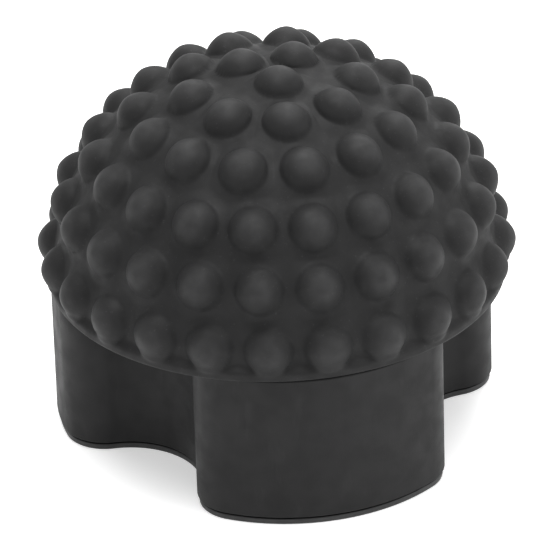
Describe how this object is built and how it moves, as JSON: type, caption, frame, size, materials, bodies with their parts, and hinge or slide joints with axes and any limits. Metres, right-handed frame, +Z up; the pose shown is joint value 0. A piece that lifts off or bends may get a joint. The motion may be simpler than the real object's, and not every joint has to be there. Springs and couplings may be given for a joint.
{
  "type": "case opening friction ball",
  "caption": "Hand tool for unscrewing watch case backs: a knobbed rubber half ball on a three-lobed grip with finger scallops and a flat foot.",
  "frame": {"origin": "centre of the flat resting face under the grip, on the axis of the half ball", "axes": "+Z up along the half ball's axis, one lobe of the grip towards -Y, a finger scallop towards +Y"},
  "size_m": [0.0694, 0.0694, 0.0584],
  "materials": {
    "dome_rubber": "matte moulded rubber, neutral black",
    "grip_soft_touch": "matte black with a soft-touch surface",
    "cover_plastic": "fine matte moulded black",
    "core_elastomer": "matte foamed elastomer",
    "fastener_steel": "plain zinc-plated steel"
  },
  "bodies": {
    "root": {"friction_dome": "dome_rubber", "dome_core": "core_elastomer", "retaining_ring": "fastener_steel", "grip_body": "grip_soft_touch", "base_cover": "cover_plastic", "ring_screw_1": "fastener_steel", "ring_screw_2": "fastener_steel", "ring_screw_3": "fastener_steel", "ring_screw_4": "fastener_steel", "ring_screw_5": "fastener_steel", "ring_screw_6": "fastener_steel", "cover_screw_1": "fastener_steel", "cover_screw_2": "fastener_steel", "cover_screw_3": "fastener_steel"}
  },
  "joints": []
}
